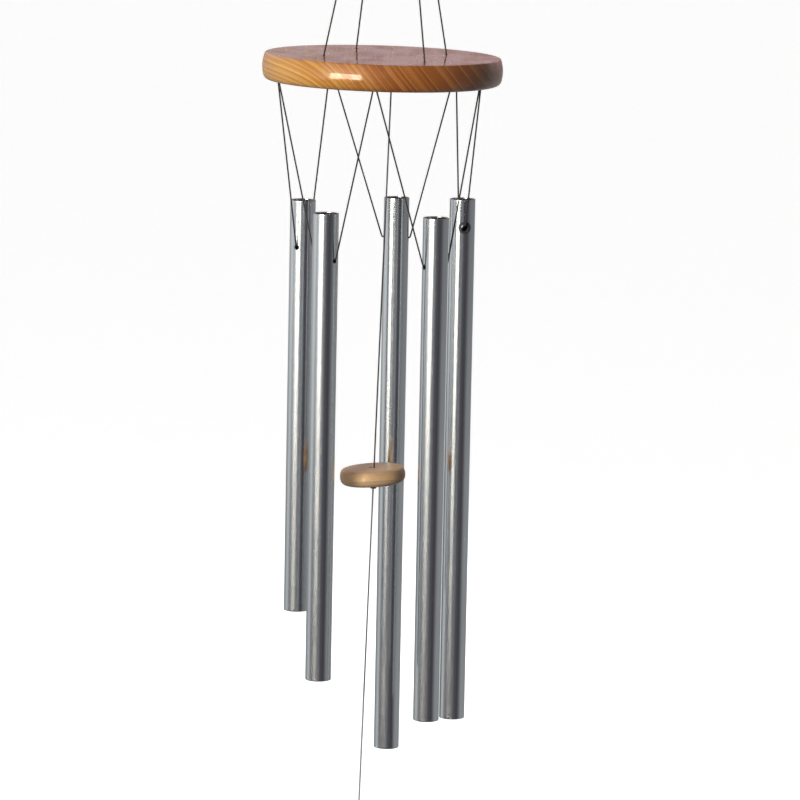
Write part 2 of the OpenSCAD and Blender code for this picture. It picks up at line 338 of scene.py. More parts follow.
def laid_cord(name, points, radius=CORD_R, lay=3.0 * MM, step=0.5 * MM, closed=False):
    """Cord of three laid strands swept along a path; its UVs run round and along it."""
    path, length = even(points, step, closed)
    count, sides = len(path), 15
    turns = length / lay if not closed else max(1, round(length / lay * 3) / 3)
    verts = []
    normal = None
    frames = []
    for i, here in enumerate(path):
        ahead = path[(i + 1) % count] if closed or i + 1 < count else here
        behind = path[i - 1] if closed or i > 0 else here
        tangent = (ahead - behind).normalized()
        if normal is None:
            normal = tangent.orthogonal().normalized()
        normal = (normal - tangent * normal.dot(tangent)).normalized()
        frames.append((here, normal, tangent.cross(normal)))
    slip = 0.0
    if closed:
        tangent = (path[1] - path[-1]).normalized()
        carried = (normal - tangent * normal.dot(tangent)).normalized()
        first = frames[0][1]
        slip = math.atan2(tangent.dot(carried.cross(first)), carried.dot(first))
    for i, (here, n, b) in enumerate(frames):
        for k in range(sides):
            a = 2 * math.pi * k / sides
            lobe = abs(math.cos(1.5 * (a - 2 * math.pi * turns * i / count)))
            r = radius * (0.80 + 0.20 * lobe)
            turn = a + slip * i / count
            verts.append(here + r * (n * math.cos(turn) + b * math.sin(turn)))
    faces, uvs = [], []
    for i in range(count if closed else count - 1):
        for k in range(sides):
            n, j = (k + 1) % sides, (i + 1) % count
            faces.append([i * sides + k, i * sides + n, j * sides + n, j * sides + k])
            v0, v1 = length * i / count, length * (i + 1) / count
            u0, u1 = k / sides, (k + 1) / sides
            uvs += [(u0, v0), (u1, v0), (u1, v1), (u0, v1)]
    if not closed:
        faces += [list(range(sides))[::-1], list(range((count - 1) * sides, count * sides))]
        uvs += [(0.5, 0)] * sides + [(0.5, length)] * sides
    piece = new_object(name, verts, faces)
    layer = piece.data.uv_layers.new(name="cord")
    for loop, uv in zip(layer.data, uvs):
        loop.uv = uv
    for polygon in piece.data.polygons:
        polygon.use_smooth = len(polygon.vertices) == 4
    return piece


def knot(name, centre, radius, axis, strand=CORD_R, wraps=(3, 5)):
    """A tight round knot: one strand wound over itself about the axis of its cord."""
    strand = min(strand, radius * 0.42)
    out = radius - strand
    ring, tube = out * 0.56, out * 0.44
    place = along(centre, axis)
    points = []
    for k in range(160):
        t = 2 * math.pi * k / 160
        reach = ring + tube * math.cos(wraps[1] * t)
        rise = out * 0.86 * math.sin(wraps[1] * t)
        points.append(place @ Vector((reach * math.cos(wraps[0] * t), reach * math.sin(wraps[0] * t), rise)))
    wound = laid_cord(name, points, strand, 2.4 * MM, 0.22 * MM, closed=True)
    core = [(0, -0.8), (0.45, -0.7), (0.75, 0), (0.45, 0.7), (0, 0.8)]
    core = [(r * out, z * out) for r, z in core]
    return join(name, [wound, lathe("core", core, place, 16)])


# ---------------------------------------------------------------- shader helpers

def add(tree, kind, inputs=None, **settings):
    """A new shader node. Each input is given a plain value or joined to a socket."""
    made = tree.nodes.new(kind)
    for key, value in settings.items():
        setattr(made, key, value)
    for key, value in (inputs or {}).items():
        if isinstance(value, bpy.types.NodeSocket):
            tree.links.new(value, made.inputs[key])
        else:
            made.inputs[key].default_value = value
    return made


def calc(tree, operation, *values):
    return add(tree, "ShaderNodeMath", dict(enumerate(values)), operation=operation).outputs[0]


def ramp(tree, factor, stops, smooth_steps=False):
    made = add(tree, "ShaderNodeValToRGB", {0: factor})
    made.color_ramp.interpolation = "EASE" if smooth_steps else "LINEAR"
    elements = made.color_ramp.elements
    for place, _ in stops[2:]:
        elements.new(place)
    for element, (place, colour) in zip(elements, stops):
        element.position = place
    for element, (place, colour) in zip(elements, stops):
        element.color = (*colour, 1) if isinstance(colour, tuple) else (colour, colour, colour, 1)
    return made.outputs[0]


def mix(tree, factor, a, b, blend="MIX"):
    made = add(tree, "ShaderNodeMix", {0: factor}, data_type="RGBA", blend_type=blend)
    for key, value in ((6, a), (7, b)):
        if isinstance(value, bpy.types.NodeSocket):
            tree.links.new(value, made.inputs[key])
        else:
            made.inputs[key].default_value = (*value, 1)
    return made.outputs[2]


def noise(tree, vector, scale, detail=2.0, roughness=0.5):
    made = add(tree, "ShaderNodeTexNoise", {"Scale": scale, "Detail": detail, "Roughness": roughness})
    tree.links.new(vector, made.inputs["Vector"])
    return made.outputs[0]


def stretched(tree, vector, scale):
    """Coordinates scaled by a different amount along each axis."""
    return add(tree, "ShaderNodeMapping", {"Vector": vector, "Scale": scale}).outputs[0]


def local_space(tree, place):
    """Coordinates of a piece in its own frame, in metres."""
    back = place.inverted()
    coords = add(tree, "ShaderNodeTexCoord").outputs["Object"]
    inputs = {"Vector": coords, "Location": back.to_translation(), "Rotation": back.to_euler()}
    return add(tree, "ShaderNodeMapping", inputs).outputs[0]


def new_material(name):
    material = bpy.data.materials.new(name)
    material.use_nodes = True
    material.node_tree.nodes.clear()
    return material, material.node_tree


def surface(tree, height=None, depth=0.0, **inputs):
    """Ends a material: a principled surface with an optional bump of a depth in metres."""
    names = {key.replace("_", " "): value for key, value in inputs.items()}
    if height is not None:
        bump = add(tree, "ShaderNodeBump", {"Height": height, "Distance": depth, "Strength": 1.0})
        names["Normal"] = bump.outputs[0]
    shader = add(tree, "ShaderNodeBsdfPrincipled", names)
    add(tree, "ShaderNodeOutputMaterial", {0: shader.outputs[0]})
    return shader


def grow_rings(tree, local, rings):
    """Growth rings of a board sawn beside its pith: level at one side, then rising at a steady slope.

    Returns the place within a ring, the ring's number and the distance grown, in metres."""
    bend = noise(tree, stretched(tree, local, (22, 4, 22)), 1.0, 3.0)
    bend = calc(tree, "MULTIPLY_ADD", bend, rings["wobble"], -rings["wobble"] / 2)
    parts = add(tree, "ShaderNodeSeparateXYZ", {0: local}).outputs
    dx = calc(tree, "SUBTRACT", parts[0], rings["knee"])
    root = calc(tree, "SQRT", calc(tree, "MULTIPLY_ADD", dx, dx, rings["soft"] ** 2))
    climb = calc(tree, "MULTIPLY", calc(tree, "ADD", dx, root), rings["slope"] / 2)
    grown = calc(tree, "ADD", calc(tree, "ADD", climb, parts[2]), bend)
    wide = calc(tree, "MULTIPLY_ADD", grown, rings["growth"], 1.0)
    count = calc(tree, "LOGARITHM", calc(tree, "MAXIMUM", wide, 0.02), math.e)
    count = calc(tree, "MULTIPLY", count, 1 / (rings["growth"] * rings["first"]))
    settings = {"W": count, "Scale": 0.8, "Detail": 1.0}
    uneven = add(tree, "ShaderNodeTexNoise", settings, noise_dimensions="1D")
    count = calc(tree, "MULTIPLY_ADD", uneven.outputs[0], 1.5, count)
    return calc(tree, "FRACT", count), calc(tree, "FLOOR", count), grown


# ---------------------------------------------------------------- materials

def wood_material(name, place, tones, rings, coat, rough, end_grain_and_painted_shade=0.0):
    """Turned ash with its fibres along the frame's Y: pale ring lines, fibres, pores and varnish, with faces along
    the grain darkened, partly as end grain and partly as painted shade.

    The tones are (line, wood, deep) at the narrow rings, then the same at the wide rings; darker wide-ring tones
    are partly painted shade on the side where the rings widen."""
    material, tree = new_material(name)
    local = local_space(tree, place)
    phase, number, grown = grow_rings(tree, local, rings)
    wide_rings_and_shade = add(tree, "ShaderNodeMapRange", {0: grown, 1: 0.008, 2: rings["turn"]}).outputs[0]
    each = add(tree, "ShaderNodeTexWhiteNoise", {"W": number}, noise_dimensions="1D").outputs[0]
    narrow = [(0.0, 1.0), (0.25, 0.9), (0.5, 0.35), (0.75, 0.05), (0.94, 0.2), (1.0, 0.9)]
    wide = [(0.0, 1.0), (0.12, 0.9), (0.26, 0.40), (0.5, 0.12), (0.85, 0.0), (0.96, 0.2), (1.0, 0.8)]
    line = mix(tree, wide_rings_and_shade, ramp(tree, phase, narrow), ramp(tree, phase, wide))
    fibre = noise(tree, stretched(tree, local, (1500, 45, 1500)), 1.0, 3.0, 0.6)
    cloud = noise(tree, stretched(tree, local, (38, 9, 38)), 1.0, 3.0)
    pore = noise(tree, stretched(tree, local, (2600, 110, 2600)), 1.0, 1.0)
    pore = ramp(tree, pore, [(0.60, 0.0), (0.72, 1.0)])
    pore = calc(tree, "MULTIPLY", pore, calc(tree, "MULTIPLY_ADD", line, 0.75, 0.2))
    # painted shade: where the rings widen, towards the right of the platform's rim, the darker wide-ring tones
    # stand partly for the shade on that unlit side
    light, dark, deep = (mix(tree, wide_rings_and_shade, tones[i], tones[i + 3]) for i in range(3))
    colour = mix(tree, calc(tree, "MULTIPLY", line, rings["show"]), dark, light)
    colour = mix(tree, calc(tree, "MULTIPLY", each, 0.35), colour, deep)
    colour = mix(tree, ramp(tree, cloud, [(0.35, 0.0), (0.75, 0.30)]), colour, light)
    colour = mix(tree, ramp(tree, fibre, [(0.40, 0.0), (0.75, 0.28)]), colour, deep)
    colour = mix(tree, calc(tree, "MULTIPLY", pore, 0.5), colour, deep)
    # painted shade: faces turned along the grain are darkened, partly as darker end grain and partly standing for
    # the shade at the striker's left and right ends
    if end_grain_and_painted_shade:
        facing = add(tree, "ShaderNodeTexCoord").outputs["Normal"]
        grain = place.to_3x3() @ Y
        end = add(tree, "ShaderNodeVectorMath", {0: facing, 1: grain}, operation="DOT_PRODUCT")
        end = calc(tree, "ABSOLUTE", end.outputs["Value"])
        end = ramp(tree, end, [(0.55, 0.0), (0.95, end_grain_and_painted_shade)], True)
        colour = mix(tree, end, colour, deep)
    gloss = calc(tree, "MULTIPLY_ADD", fibre, 0.18, rough)
    relief = calc(tree, "MULTIPLY_ADD", line, 0.5, calc(tree, "MULTIPLY", fibre, 0.18))
    relief = calc(tree, "SUBTRACT", relief, calc(tree, "MULTIPLY", pore, 0.5))
    shader = surface(tree, relief, 0.10 * MM, Base_Color=colour, Roughness=gloss)
    waves = noise(tree, stretched(tree, local, (170, 60, 170)), 1.0, 3.0, 0.6)
    film = calc(tree, "MULTIPLY_ADD", line, 0.16, waves)
    low = add(tree, "ShaderNodeSeparateXYZ", {0: local}).outputs[2]
    film = calc(tree, "MULTIPLY_ADD", low, -1150.0, film)
    soft = add(tree, "ShaderNodeBump", {"Height": film, "Distance": 0.05 * MM, "Strength": 1.0})
    tree.links.new(soft.outputs[0], shader.inputs["Coat Normal"])
    weight, blur = coat
    mottle = noise(tree, stretched(tree, local, (70, 45, 70)), 1.0, 4.0, 0.62)
    mottle = ramp(tree, mottle, [(0.38, 0.45 * weight), (0.56, weight)])
    tree.links.new(mottle, shader.inputs["Coat Weight"])
    shader.inputs["Coat Roughness"].default_value = blur
    shader.inputs["Coat IOR"].default_value = 1.55
    return material


def tube_material():
    """Drawn aluminium, polished: fine lines along the tube, faint smudges and a cool grey tint."""
    material, tree = new_material("tube_aluminium")
    coords = add(tree, "ShaderNodeTexCoord").outputs["Object"]
    drawn = noise(tree, stretched(tree, coords, (2400, 2400, 12)), 1.0, 3.0, 0.6)
    streak = noise(tree, stretched(tree, coords, (520, 520, 5)), 1.0, 2.0, 0.5)
    smudge = noise(tree, stretched(tree, coords, (70, 70, 24)), 1.0, 4.0, 0.6)
    speck = noise(tree, coords, 900.0, 2.0)
    colour = mix(tree, ramp(tree, smudge, [(0.3, 0.0), (0.8, 1.0)]), (0.79, 0.81, 0.825), (0.72, 0.74, 0.75))
    colour = mix(tree, ramp(tree, drawn, [(0.45, 0.0), (0.8, 0.35)]), colour, (0.55, 0.56, 0.58))
    gloss = calc(tree, "MULTIPLY_ADD", smudge, 0.07, 0.10)
    gloss = calc(tree, "MULTIPLY_ADD", speck, 0.03, gloss)
    relief = calc(tree, "MULTIPLY_ADD", streak, 6.0, drawn)
    surface(tree, relief, 0.007 * MM, Base_Color=colour, Metallic=1.0, Roughness=gloss)
    return material


def cut_material():
    """Sawn and deburred aluminium of the tube ends."""
    material, tree = new_material("tube_cut_end")
    coords = add(tree, "ShaderNodeTexCoord").outputs["Object"]
    marks = noise(tree, stretched(tree, coords, (900, 2600, 900)), 1.0, 2.0)
    colour = mix(tree, marks, (0.20, 0.205, 0.21), (0.50, 0.51, 0.52))
    surface(tree, marks, 0.02 * MM, Base_Color=colour, Metallic=1.0, Roughness=0.42)
    return material


def cord_material(name, dark, light):
    """Laid polyester cord: fine filaments across each strand, slightly dusty on its high parts."""
    material, tree = new_material(name)
    uv = add(tree, "ShaderNodeUVMap", uv_map="cord").outputs[0]
    parts = add(tree, "ShaderNodeSeparateXYZ", {0: uv}).outputs
    lay = calc(tree, "MULTIPLY_ADD", parts[1], 6200.0, calc(tree, "MULTIPLY", parts[0], 40.0))
    thread = calc(tree, "MULTIPLY_ADD", calc(tree, "SINE", lay), 0.5, 0.5)
    coords = add(tree, "ShaderNodeTexCoord").outputs["Object"]
    fuzz = noise(tree, coords, 2800.0, 3.0)
    wear = noise(tree, coords, 160.0, 3.0)
    colour = mix(tree, calc(tree, "MULTIPLY", thread, fuzz), dark, light)
    colour = mix(tree, ramp(tree, wear, [(0.45, 0.0), (0.8, 0.4)]), colour, light)
    height = calc(tree, "MULTIPLY_ADD", fuzz, 0.5, calc(tree, "MULTIPLY", thread, 0.6))
    surface(tree, height, 0.03 * MM, Base_Color=colour, Roughness=0.62, Sheen_Weight=0.25)
    return material


def rubber_material():
    """Soft dark grommet rubber with a fine moulded grain."""
    material, tree = new_material("grommet_rubber")
    coords = add(tree, "ShaderNodeTexCoord").outputs["Object"]
    grain = noise(tree, coords, 2600.0, 2.0)
    dust = noise(tree, coords, 420.0, 3.0)
    dusty = ramp(tree, dust, [(0.4, 0.0), (0.8, 1.0)])
    colour = mix(tree, dusty, (0.055, 0.053, 0.060), (0.13, 0.125, 0.13))
    gloss = calc(tree, "MULTIPLY_ADD", dust, 0.20, 0.30)
    surface(tree, grain, 0.012 * MM, Base_Color=colour, Roughness=gloss)
    return material


def steel_material():
    """Polished steel wire with fine scratches round it."""
    material, tree = new_material("ring_steel")
    coords = add(tree, "ShaderNodeTexCoord").outputs["Object"]
    scratch = noise(tree, stretched(tree, coords, (300, 2600, 300)), 1.0, 3.0)
    stain = noise(tree, coords, 180.0, 3.0)
    colour = mix(tree, ramp(tree, stain, [(0.4, 0.0), (0.8, 1.0)]), (0.66, 0.66, 0.67), (0.50, 0.49, 0.48))
    gloss = calc(tree, "MULTIPLY_ADD", stain, 0.16, 0.14)
    surface(tree, scratch, 0.006 * MM, Base_Color=colour, Metallic=1.0, Roughness=gloss)
    return material


# ---------------------------------------------------------------- pieces

def settle(piece, node, slot, *materials):
    """A finished piece stands for its CAD node and rides on the same body; the slot is not used."""
    for material in materials:
        piece.data.materials.append(material)
    bodies = frame["record"]["behaviour"]["bodies"]
    body = next(name for name, nodes in bodies.items() if node in nodes)
    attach(piece, body)
    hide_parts(node)
    return piece


def make_ring(steel):
    """Round wire bent to a ring, its ends butt welded with a low bead at the side."""
    low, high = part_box("hanging_ring")
    wire = (high.y - low.y) / 2
    centre, reach = (low + high) / 2, (high.x - low.x) / 2 - wire
    verts, faces, around, sides = [], [], 160, 24
    for i in range(around):
        a = 2 * math.pi * i / around
        out = Vector((math.cos(a), 0, math.sin(a)))
        bead = math.exp(-(((a - 0.35) / 0.05) ** 2))
        r = wire * (1 + 0.09 * bead + 0.006 * math.sin(7 * a))
        for k in range(sides):
            b = 2 * math.pi * k / sides
            verts.append(centre + out * (reach + r * math.cos(b)) + Y * r * math.sin(b))
    for i in range(around):
        for k in range(sides):
            n, j = (k + 1) % sides, (i + 1) % around
            faces.append([i * sides + k, j * sides + k, j * sides + n, i * sides + n])
    piece = smooth(new_object("hanging_ring.wire", verts, faces), 60)
    settle(piece, "hanging_ring", "ring_steel", steel)


def make_crown_loop(cord):
    """Two turns of cord round the ring's wire, their ends led down into the crown knot."""
    low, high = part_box("crown_loop")
    centre, reach = (low + high) / 2, (high.z - low.z) / 2 - CORD_R
    side = (high.x - low.x) / 2 - CORD_R
    bottom = box_centre("crown_knot")
    points = [bottom + Vector((-side, -0.3 * MM, 0.8 * MM))]
    for k in range(97):
        a = 4 * math.pi * k / 96
        across = side * (k / 48 - 1)
        points.append(centre + Vector((across, -reach * math.sin(a), -reach * math.cos(a))))
    points.append(bottom + Vector((side, 0.3 * MM, 0.8 * MM)))
    settle(laid_cord("crown_loop.cord", points, step=0.3 * MM), "crown_loop", "cord", cord)


def make_simple_knot(node, cord, axis, wraps=(3, 5), strand=CORD_R):
    low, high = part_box(node)
    piece = knot(node + ".knot", (low + high) / 2, (high.x - low.x) / 2, axis, strand, wraps)
    settle(piece, node, "cord", cord)


def leg_feet(place):
    """Each leg knot's centre in the platform's own frame."""
    back = place.inverted()
    return [back @ middle(group) for group in solids("leg_knots")]


def make_legs(place, thickness, cord):
    """The four legs, from their knots in the platform up to the crown knot."""
    low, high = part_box("crown_knot")
    crown = place.inverted() @ ((low + high) / 2)
    knot_r = (high.z - low.z) / 2
    for side in ("left", "right"):
        cords = []
        for foot in leg_feet(place):
            if not leg_in_node(place @ foot, "leg_cord_" + side):
                continue
            flat = Vector((foot.x, foot.y, 0))
            mouth = flat + Z * (thickness + 0.5 * MM)
            top = crown + flat.normalized() * LEG_GATHER_R - Z * knot_r * 0.6
            points = [place @ p for p in (foot, mouth, top)]
            cords.append(laid_cord("leg", bent(points)))
        settle(join(f"leg_cord_{side}.cord", cords), "leg_cord_" + side, "cord", cord)


def leg_in_node(point, node):
    """Whether a leg of this node starts near the point."""
    return any((v.co - point).xy.length < 3 * MM for v in frame["nodes"][node].data.vertices)


def make_leg_knots(place, cord):
    low_knots = []
    for group in solids("leg_knots"):
        radius = (max(p.x for p in group) - min(p.x for p in group)) / 2
        centre = middle(group)
        low_knots.append(knot("knot", centre, radius, place.to_3x3() @ Z, wraps=(2, 3)))
        tail = [centre, centre + Vector((0.9, 0.5, -1.9)) * MM, centre + Vector((1.6, 0.4, -3.6)) * MM]
        low_knots.append(laid_cord("tail", bent(tail, 0.8 * MM), step=0.3 * MM))
    settle(join("leg_knots.knots", low_knots), "leg_knots", "cord", cord)


def hole_cutter(profile, place):
    """A turned cutter for one of the hole profiles above."""
    return lathe("hole", [(r * MM, z * MM) for r, z in profile], place, 40)


def make_platform(place, radius, thickness, wood):
    """The turned platform with its leg holes, knot pockets and blind anchor holes."""
    profile = turned_profile(radius, thickness, *PLATFORM_RIM)
    disc = lathe("platform.disc", profile, place, 240)
    cutters = []
    for foot in leg_feet(place):
        spot = place @ Matrix.Translation((foot.x, foot.y, 0))
        cutters.append(hole_cutter(LEG_HOLE, spot))
    for group in solids("anchor_pegs"):
        peg = place.inverted() @ middle(group)
        spot = place @ Matrix.Translation((peg.x, peg.y, 0))
        cutters.append(hole_cutter(ANCHOR_HOLE, spot))
    piece = smooth(cut(disc, [join("holes", cutters)]))
    settle(piece, "platform", "platform_wood", wood)


def make_pegs(place, wood):
    """The dowels that hold the cords in their holes, their ends rounded over."""
    pegs = []
    for group in solids("anchor_pegs"):
        local = [place.inverted() @ p for p in group]
        low, high = min(p.z for p in local), max(p.z for p in local)
        r = (max(p.x for p in local) - min(p.x for p in local)) / 2 - 0.04 * MM
        centre = middle(local)
        profile = [(0, low), (r * 0.5, low + 0.03 * MM), (r - 0.4 * MM, low + 0.12 * MM)]
        profile += [(r, low + 0.55 * MM), (r, high - 0.3 * MM), (r - 0.3 * MM, high), (0, high)]
        pegs.append(lathe("peg", profile, place @ Matrix.Translation((centre.x, centre.y, 0)), 40))
    piece = smooth(join("anchor_pegs.pegs", pegs), 50)
    settle(piece, "anchor_pegs", "peg_wood", wood)


def make_tube(which, metal, sawn):
    """A tube with rounded lips, a sawn end face and a cross hole for its cord."""
    node = "tube_" + which
    low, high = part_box(node)
    centre, radius = (low + high) / 2, (high.x - low.x) / 2
    hole, across, free = cross_hole(which)
    drill_r = GROMMET_HOLE_R if which == GROMMET_TUBE else free
    bore = radius - TUBE_WALL
    foot, head = low.z + MM, high.z - MM
    corners = [(bore, low.z), (radius, low.z), (radius, foot), (radius, head)]
    corners += [(radius, high.z), (bore, high.z), (bore, head), (bore, foot)]
    radii = [0.25 * MM, 0.3 * MM, 0, 0, 0.3 * MM, 0.25 * MM, 0, 0]
    lip = rounded(corners, radii, 4)
    axis = Matrix.Translation((centre.x, centre.y, 0))
    tube = lathe(node + ".wall", lip, axis, 112, ring=True)
    drill = [(0, -2 * radius), (drill_r, -2 * radius), (drill_r, 2 * radius), (0, 2 * radius)]
    piece = smooth(cut(tube, [lathe("drill", drill, along(hole, across), 48)]))
    settle(piece, node, "tube_aluminium", metal, sawn)
    for polygon in piece.data.polygons:
        if abs(polygon.normal.z) > 0.35:
            polygon.material_index = 1


def make_grommets(rubber):
    """A soft eyelet in each wall, its flange bent to the tube's curve."""
    low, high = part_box("tube_" + GROMMET_TUBE)
    radius = (high.x - low.x) / 2
    centre, across, r = cross_hole(GROMMET_TUBE)
    inner = radius - TUBE_WALL
    neck, flange = GROMMET_HOLE_R - 0.05 * MM, FLANGE_R
    corners = [(r, inner - 1.1 * MM), (r, radius + FLANGE_OUT), (flange, radius + FLANGE_OUT)]
    corners += [(flange, radius), (neck, radius), (neck, inner), (neck + 0.5 * MM, inner - 0.1 * MM)]
    corners += [(neck + 0.3 * MM, inner - 1.1 * MM)]
    radii = [0.3 * MM, 0.45 * MM, 0.4 * MM, 0, 0, 0, 0.2 * MM, 0.3 * MM]
    eyelets = []
    for sign in (-1, 1):
        place = along(centre, across * sign)
        eyelet = lathe("eyelet", rounded(corners, radii, 4), Matrix.Identity(4), 48, ring=True)
        level = (place.to_3x3().transposed() @ Z).normalized()
        for vert in eyelet.data.vertices:
            side = vert.co - level * vert.co.dot(level)
            side.z = 0
            sink = radius - math.sqrt(radius ** 2 - min(side.length, 0.9 * radius) ** 2)
            vert.co.z -= sink
            vert.co = place @ vert.co
        eyelets.append(eyelet)
    piece = smooth(join("grommets.eyelets", eyelets), 50)
    settle(piece, "grommets", "grommet_rubber", rubber)


def make_tube_cord(which, cord):
    """A V of cord from two anchor holes, bent tight where it enters the tube's cross hole."""
    node = "tube_cord_" + which
    low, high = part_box("tube_" + which)
    hang, level = joint_place("rock_" + which)
    pivot, chord = joint_place("swing_" + which)
    out = (high.x - low.x) / 2 + SLACK + BEND_R + (FLANGE_OUT if which == GROMMET_TUBE else 0)
    if chord.dot(level) < 0:
        chord = -chord
    reach = [(v.co - pivot).dot(chord) for v in frame["nodes"][node].data.vertices]
    ends = [pivot + chord * (min(reach) + CORD_R), pivot + chord * (max(reach) - CORD_R)]
    path = bent([ends[0], hang - level * out, hang + level * out, ends[1]], 0.9 * MM)
    settle(laid_cord(node + ".cord", path), node, "cord", cord)


def make_straight_cord(node, top, bottom, cord):
    settle(laid_cord(node + ".cord", [top, bottom]), node, "cord", cord)


def make_striker(place, radius, thickness, wood):
    """The turned striker with its centre hole, its rims rounded over."""
    profile = turned_profile(radius, thickness, *STRIKER_RIM)
    disc = lathe("striker.disc", profile, place, 144)
    piece = smooth(cut(disc, [hole_cutter(STRIKER_HOLE, place)]))
    settle(piece, "striker", "striker_wood", wood)


def make_sail_loop(cord):
    """The knot above the sail and the eye of cord that carries it."""
    knot_at, axis = joint_place("sail_spin")
    low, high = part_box("sail_loop")
    knot_r, loop_r = SAIL_KNOT_R, (high.y - low.y) / 2 - CORD_R
    centre = knot_at - axis * (knot_r + loop_r)
    points = []
    for k in range(72):
        a = 2 * math.pi * k / 72
        points.append(centre + axis * loop_r * math.cos(a) + Y * loop_r * math.sin(a))
    eye = laid_cord("eye", points, step=0.4 * MM, closed=True)
    piece = join("sail_loop.cord", [eye, knot("knot", knot_at, knot_r, axis)])
    settle(piece, "sail_loop", "cord", cord)


def sail_frame():
    """The sail's own frame: origin at its hole, Y through its thickness, Z towards its cord."""
    hole, _ = joint_place("sail_sway")
    _, axis = joint_place("sail_spin")
    return Matrix.Translation(hole) @ Matrix((Y.cross(axis), Y, axis)).transposed().to_4x4()


def sail_outline(place):
    """The sail's outline in its own frame, in order round it."""
    points = [place.inverted() @ v.co for v in frame["nodes"]["sail"].data.vertices]
    low, high = min(p.z for p in points), max(p.z for p in points)
    foot_r = max(p.x for p in points)
    head, foot = high - SAIL_HEAD_R, low + foot_r
    touch = math.asin((foot_r - SAIL_HEAD_R) / (head - foot))
    lower = arc((0, foot), foot_r, math.pi - touch, 2 * math.pi + touch, 72)
    upper = arc((0, head), SAIL_HEAD_R, touch, math.pi - touch, 36)
    return lower + upper, max(p.y for p in points)


def make_sail(wood):
    """A flat teardrop plate with rounded edges and a countersunk hole."""
    place = sail_frame()
    outline, half = sail_outline(place)
    round_r = SAIL_EDGE_R
    levels = [(-half, round_r)]
    for a in (0.4, 0.8, 1.2, math.pi / 2):
        levels.append((-half + round_r * (1 - math.cos(a)), round_r * (1 - math.sin(a))))
    levels += [(-y, inset) for y, inset in reversed(levels)]
    count = len(outline)
    normals = []
    for i in range(count):
        ahead = Vector(outline[(i + 1) % count]) - Vector(outline[i - 1])
        normals.append(Vector((-ahead.y, ahead.x)).normalized())
    verts, faces = [], []
    for y, inset in levels:
        for point, inward in zip(outline, normals):
            spot = Vector(point) + inward * inset
            verts.append(place @ Vector((spot.x, y, spot.y)))
    for i in range(len(levels) - 1):
        for k in range(count):
            n = (k + 1) % count
            faces.append([i * count + k, i * count + n, (i + 1) * count + n, (i + 1) * count + k])
    faces.append(list(range(count))[::-1])
    faces.append(list(range((len(levels) - 1) * count, len(levels) * count)))
    plate = new_object("sail.plate", verts, faces)
    r, edge = SAIL_HOLE_R, 0.6 * MM
    drill = [(0, -half - edge), (r + 2 * edge, -half - edge), (r, -half + edge)]
    drill += [(r, half - edge), (r + 2 * edge, half + edge), (0, half + edge)]
    tool = lathe("drill", drill, place @ Matrix.Rotation(-math.pi / 2, 4, "X"), 40)
    piece = smooth(cut(plate, [tool]))
    settle(piece, "sail", "sail_wood", wood)


# ---------------------------------------------------------------- the chime

def make_chime():
    cord = cord_material("cord", (0.016, 0.016, 0.017), (0.075, 0.075, 0.072))
    worn_cord = cord_material("cord_worn", (0.060, 0.060, 0.062), (0.20, 0.20, 0.195))
    pale_cord = cord_material("cord_pale", (0.30, 0.30, 0.30), (0.56, 0.56, 0.55))
    waxed = cord_material("cord_waxed", (0.24, 0.17, 0.11), (0.50, 0.38, 0.27))
    metal, sawn, rubber, steel = tube_material(), cut_material(), rubber_material(), steel_material()
    place, radius, thickness = disc_place("platform")
    core = place @ Matrix.Translation((0, 0, thickness / 2))
    wood = wood_material("platform_wood", core, HONEY, BOARD, (1.0, 0.02), 0.34)
    peg_wood = wood_material("peg_wood", core, TAN, PLAIN, (0.2, 0.3), 0.5)
    make_ring(steel)
    make_crown_loop(cord)
    make_simple_knot("crown_knot", cord, Z)
    make_legs(place, thickness, cord)
    make_leg_knots(place, cord)
    make_platform(place, radius, thickness, wood)
    make_pegs(place, peg_wood)
    for which in TUBES:
        make_tube(which, metal, sawn)
        make_tube_cord(which, cord)
    make_grommets(rubber)
    eye_at, _ = joint_place("pendulum_side")
    striker_at, _ = joint_place("striker_tilt")
    sail_knot_at, _ = joint_place("sail_spin")
    make_simple_knot("centre_eye", worn_cord, Z, (2, 3))
    make_straight_cord("centre_cord", eye_at, striker_at, worn_cord)
    disc, disc_r, disc_t = disc_place("striker")
    crosswise = disc @ Matrix.Rotation(math.pi / 2, 4, "Z")
    # the striker's grain runs left to right, so its ends get the darkening along the grain: partly end grain,
    # partly painted shade
    striker_wood = wood_material("striker_wood", crosswise, TAN, PLAIN, (0.4, 0.22), 0.42, 0.75)
    make_striker(disc, disc_r, disc_t, striker_wood)
    make_simple_knot("striker_knot", waxed, Z)
    make_straight_cord("sail_cord", striker_at, sail_knot_at, pale_cord)
    make_sail_loop(pale_cord)
    upright = sail_frame() @ Matrix.Rotation(math.pi / 2, 4, "X")
    sail_wood = wood_material("sail_wood", upright, HONEY, SAWN, (0.6, 0.08), 0.38)
    make_sail(sail_wood)


# ---------------------------------------------------------------- light, floor and camera

# walls and screens: turn from the camera's side towards the right, brightness at eye level and low down
WALLS = (
    ("back wall, left end", -180, 0.40, 0.25),
    ("left rear corner", -142, 0.42, 0.26),
    ("left wall", -100, 0.71, 0.52),
    ("left front corner", -70, 0.54, 0.17),
    ("front wall", -5, 0.30, 0.18),
    ("near edge of the dark screen", 18, 0.092, 0.090),
    ("far edge of the dark screen", 42, 0.068, 0.062),
    ("right wall", 90, 0.21, 0.30),
    ("right rear corner", 150, 0.25, 0.30),
    ("back wall, right end", 180, 0.39, 0.32))
EYE_LEVEL, LOW_DOWN = 2, 3
WALL_FOOT = (-9.9, -7.9)
SOFTBOX_TURN, SOFTBOX_EDGE, SOFTBOX_CORE = -40, 34, 5
SOFTBOX_LIGHT, SOFTBOX_SHADE = 1.12, 0.6
WINDOW_TURN, WINDOW_EDGE = -35, (16.5, 13.5)
